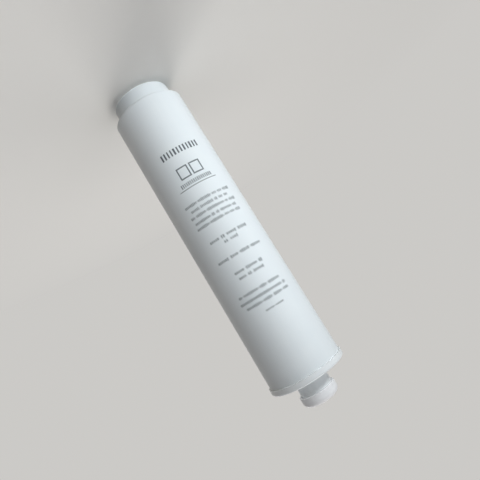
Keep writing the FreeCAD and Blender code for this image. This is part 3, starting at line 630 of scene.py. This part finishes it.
def make_weld_bead():
    """Bead that the weld pushed into the joint under the rim, uneven around the shell."""
    low = MOUTH_LEVEL + BEAD_PLAY
    high = MOUTH_LEVEL + JOINT_HEIGHT - BEAD_PLAY
    section = ((low, None), (low, 0.8), ((low + high) / 2, 1.0), (high, 0.8), (high, None))
    rings = [round_ring(BEAD_STEPS, level, partial(bead_radius, bow)) for level, bow in section]
    return ring_solid("weld_bead", rings, ((0, 1), (1, 2), (2, 3), (3, 4), (4, 0)), head_plastic)


# The gate stub's rings from root to tip: radius, and height over the dimple's face. Its lobes turn with
# the radius, and its nicks don't.
STUB_STEPS = 28
STUB_RINGS = ((0.00165, 0.0001), (0.00145, -0.00012), (0.0011, -0.0003), (0.0007, -0.00042),
              (0.0003, -0.00036))
LOBES = 3
LOBE_SIZE = 0.06
LOBE_TWIST = 4000
NICKS = 7
NICK_SIZE = 0.03


def torn_radius(radius, angle):
    """The stub's radius at an angle, twisted off unevenly."""
    lobe = LOBE_SIZE * math.sin(LOBES * angle + radius * LOBE_TWIST)
    return radius * (1 + lobe + NICK_SIZE * math.sin(NICKS * angle))


def make_gate_stub():
    """Short, twisted-off stub where the plastic entered, inside the dimple of the closed end."""
    rings = [round_ring(STUB_STEPS, GATE_FACE + height, partial(torn_radius, radius))
             for radius, height in STUB_RINGS]
    piece = ring_solid("gate_stub", rings, ((0, 1), (1, 2), (2, 3), (3, 4)), shell_plastic, lids=(0, 4))
    piece.data.shade_smooth()
    return piece


# The wound roll. The shares are of the gap from one turn to the next.
ROLL_TURNS = 12.5
FIRST_TURN_SHARE = 0.3
LEAF_SHARE = 0.48
NET_SHARE = 0.44


def wound_sheet_tree():
    """A sheet wound into a spiral around the core tube."""
    tree, given, piece = new_tree("wound_sheet", [
        ("Turns", "NodeSocketFloat", ROLL_TURNS),
        ("Steps a turn", "NodeSocketInt", 48),
        ("First radius", "NodeSocketFloat", CORE_RADIUS),
        ("Last radius", "NodeSocketFloat", ROLL_RADIUS),
        ("Start turn", "NodeSocketFloat", 0.0),
        ("Thickness", "NodeSocketFloat", 0.0005),
        ("Base level", "NodeSocketFloat", ROLL_BASE),
        ("Top level", "NodeSocketFloat", ROLL_TOP),
        ("Sheet", "NodeSocketMaterial", None),
    ])
    spiral = add(tree, "GeometryNodeCurveSpiral", None, {
        "Resolution": given["Steps a turn"], "Rotations": given["Turns"],
        "Start Radius": given["First radius"], "End Radius": given["Last radius"], "Height": 0.0})
    upright = add(tree, "GeometryNodeSetCurveNormal", {"mode": "Z_UP"}, {"Curve": spiral.outputs[0]})
    height = maths(tree, "SUBTRACT", given["Top level"], given["Base level"])
    section = add(tree, "GeometryNodeCurvePrimitiveQuadrilateral", {"mode": "RECTANGLE"},
                  {"Width": given["Thickness"], "Height": height})
    wall = add(tree, "GeometryNodeCurveToMesh", None,
               {"Curve": upright.outputs[0], "Profile Curve": section.outputs[0], "Fill Caps": True})
    middle = times(tree, maths(tree, "ADD", given["Top level"], given["Base level"]), 0.5)
    placed = add(tree, "GeometryNodeTransform", None, {
        "Geometry": wall.outputs[0], "Translation": point_at(tree, 0.0, 0.0, middle),
        "Rotation": point_at(tree, 0.0, 0.0, times(tree, given["Start turn"], math.tau))})
    real = add(tree, "GeometryNodeRealizeInstances", None, {0: placed.outputs[0]})
    done = add(tree, "GeometryNodeSetMaterial", None,
               {"Geometry": real.outputs[0], "Material": given["Sheet"]})
    put(tree, piece, done.outputs[0])
    return tree


def make_roll():
    """The membrane leaf and the feed net, wound together half a turn apart."""
    wound_sheet = wound_sheet_tree()
    gap = (ROLL_RADIUS - CORE_RADIUS) / (ROLL_TURNS + 0.5)
    first = CORE_RADIUS + gap * FIRST_TURN_SHARE
    shared = {"Turns": ROLL_TURNS, "First radius": first, "Last radius": first + gap * ROLL_TURNS}
    leaf = made_by(wound_sheet, "wound_leaf",
                   {**shared, "Start turn": 0.0, "Thickness": gap * LEAF_SHARE, "Sheet": membrane_leaf})
    net = made_by(wound_sheet, "feed_net",
                  {**shared, "Start turn": 0.5, "Thickness": gap * NET_SHARE, "Sheet": feed_spacer})
    return leaf, net


for piece in make_printed_rows():
    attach(piece, "root")

for side, (first, last) in HEADING_FIELDS.items():
    field = make_heading_frame(f"heading_field_{side}", math.radians(first), math.radians(last))
    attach(field, "root")

leaf, net = make_roll()
for piece in (leaf, net):
    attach(piece, "root")
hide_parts("membrane_roll")
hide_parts("membrane_roll")

bead = make_weld_bead()
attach(bead, "root")
stub = make_gate_stub()
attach(stub, "root")

# Floor, background, lamps and camera. The floor fades into the background between two radii.
BACKGROUND = (0.6, 0.59, 0.57, 1)
SOFT_SKY = (0.86, 0.9, 1.0, 1)
SOFT_SKY_STRENGTH = 0.12
FLOOR_SEEN = (0.91, 0.895, 0.86, 1)
FLOOR_UNSEEN = (0.48, 0.44, 0.39, 1)
FLOOR_REACH = 12.0
FLOOR_LEVEL = -0.0001
FADE_START = 0.1
FADE_END = 0.55
OPEN_UNDER_FACE = 0.0225
OPEN_TO_LIGHT = 0.026

# Each lamp: place, aim, width, height, power, colour, whether shiny surfaces mirror it
LAMPS = {
    "window_light": ((-0.97, -0.94, 0.14), (0, 0, 0.14), 2.0, 0.55, 5.9, (0.92, 0.97, 1.0), True),
    "low_light": ((-0.29, -0.28, 0.035), (0, 0, 0.28), 0.5, 0.06, 1.33, (0.92, 0.97, 1.0), False),
    "top_light": ((0.0, 0.0, 1.5), (0, 0, 0), 1.2, 1.2, 9.5, (1.0, 0.98, 0.96), True),
    "back_light": ((0.5, 1.3, 1.1), (0, 0, 0.15), 0.8, 0.8, 10.0, (1.0, 0.99, 0.97), False),
    "end_light": ((0.1, -0.3, -0.9), (0, 0, 0), 0.6, 0.6, 3.4, (1.0, 1.0, 1.0), False),
}

CAMERA_PLACE = (-0.013223, -0.366742, 0.198239)
CAMERA_RIGHT = Vector((-0.85207, 0.06954, 0.51879))
CAMERA_DOWN = Vector((0.52336, 0.09664, 0.84661))
CAMERA_AHEAD = Vector((0.00874, 0.99289, -0.11874))
SENSOR_WIDTH = 36.0
FOCAL_LENGTH = 32.43
CLIP_START = 0.01


def seen_directly(tree):
    """One for rays from the camera, from gloss or through glass."""
    rays = add(tree, "ShaderNodeLightPath").outputs
    gloss = maths(tree, "MAXIMUM", rays["Is Glossy Ray"], rays["Is Transmission Ray"])
    return maths(tree, "MAXIMUM", rays["Is Camera Ray"], gloss)


def cleared_floor(tree, radius):
    """One where the floor lets rays pass: from below, under the closed face, and for light at its edge."""
    below = add(tree, "ShaderNodeNewGeometry").outputs["Backfacing"]
    under_face = maths(tree, "LESS_THAN", radius, OPEN_UNDER_FACE)
    under_edge = maths(tree, "LESS_THAN", radius, OPEN_TO_LIGHT)
    light = times(tree, under_edge, add(tree, "ShaderNodeLightPath").outputs["Is Shadow Ray"])
    return maths(tree, "MAXIMUM", below, maths(tree, "MAXIMUM", under_face, light))


def make_floor():
    """A wide pale floor that keeps the shadow, runs into the background and is clear from below."""
    material, tree, shader, place = new_material("pale_floor")
    direct = seen_directly(tree)
    pale = blend_colours(tree, direct, FLOOR_UNSEEN, FLOOR_SEEN)
    speckle = from_to(tree, noise(tree, place, scale=900.0), 0.97, 1.0)
    grain = add(tree, "ShaderNodeVectorMath", {"operation": "SCALE"}, {0: pale, "Scale": speckle})
    put(tree, shader.inputs["Base Color"], grain.outputs[0])
    shader.inputs["Roughness"].default_value = 0.9
    shader.inputs["Specular IOR Level"].default_value = 0.1
    radius = radius_of(tree, place)
    far = times(tree, between(tree, radius, FADE_START, FADE_END), direct)
    plain = add(tree, "ShaderNodeEmission", None, {"Color": BACKGROUND, "Strength": 1.0})
    both = add(tree, "ShaderNodeMixShader", None, {0: far, 1: shader.outputs[0], 2: plain.outputs[0]})
    clear = add(tree, "ShaderNodeBsdfTransparent")
    one_sided = add(tree, "ShaderNodeMixShader", None,
                    {0: cleared_floor(tree, radius), 1: both.outputs[0], 2: clear.outputs[0]})
    put(tree, tree.nodes["Material Output"].inputs["Surface"], one_sided.outputs[0])
    corners = [(across * FLOOR_REACH, along * FLOOR_REACH, FLOOR_LEVEL)
               for across, along in ((-1, -1), (1, -1), (1, 1), (-1, 1))]
    floor = solid_from("floor", corners, [(0, 1, 2, 3)], material)
    return floor


def make_background():
    """A weak soft sky that lights, behind a plain background that is seen."""
    world = bpy.data.worlds.new("studio")
    world.use_nodes = True
    bpy.context.scene.world = world
    tree = world.node_tree
    soft = tree.nodes["Background"]
    soft.inputs["Color"].default_value = SOFT_SKY
    soft.inputs["Strength"].default_value = SOFT_SKY_STRENGTH
    plain = add(tree, "ShaderNodeBackground", None, {"Color": BACKGROUND, "Strength": 1.0})
    both = add(tree, "ShaderNodeMixShader", None,
               {0: seen_directly(tree), 1: soft.outputs[0], 2: plain.outputs[0]})
    put(tree, tree.nodes["World Output"].inputs["Surface"], both.outputs[0])


def make_softbox(name, place, aim, width, height, power, colour, in_gloss):
    """A soft rectangular lamp that the camera doesn't see."""
    lamp = bpy.data.lights.new(name, "AREA")
    lamp.shape = "RECTANGLE"
    lamp.size = width
    lamp.size_y = height
    lamp.energy = power
    lamp.color = colour
    box = bpy.data.objects.new(name, lamp)
    bpy.context.scene.collection.objects.link(box)
    box.location = place
    box.visible_camera = False
    box.visible_glossy = in_gloss
    ahead = Vector(aim) - Vector(place)
    box.rotation_euler = ahead.to_track_quat("-Z", "Y").to_euler()
    return box


def keep_off(box, floor):
    """Keeps a lamp that stands close to the floor from making a bright pool on it."""
    spared = bpy.data.collections.new("spared")
    spared.objects.link(floor)
    spared.collection_objects[0].light_linking.link_state = "EXCLUDE"
    box.light_linking.receiver_collection = spared


def make_camera():
    """The photograph's angle: from the printed side, rolled so that the connector points down right."""
    lens = bpy.data.cameras.new("camera")
    lens.sensor_width = SENSOR_WIDTH
    lens.lens = FOCAL_LENGTH
    lens.clip_start = CLIP_START
    camera = bpy.data.objects.new("camera", lens)
    bpy.context.scene.collection.objects.link(camera)
    turn = Matrix((CAMERA_RIGHT, -CAMERA_DOWN, -CAMERA_AHEAD)).transposed().to_4x4()
    camera.matrix_world = Matrix.Translation(CAMERA_PLACE) @ turn
    bpy.context.scene.camera = camera


floor = make_floor()
make_background()
for name, lamp in LAMPS.items():
    box = make_softbox(name, *lamp)
    if name == "low_light":
        keep_off(box, floor)
make_camera()
bpy.context.scene.view_settings.view_transform = "Standard"
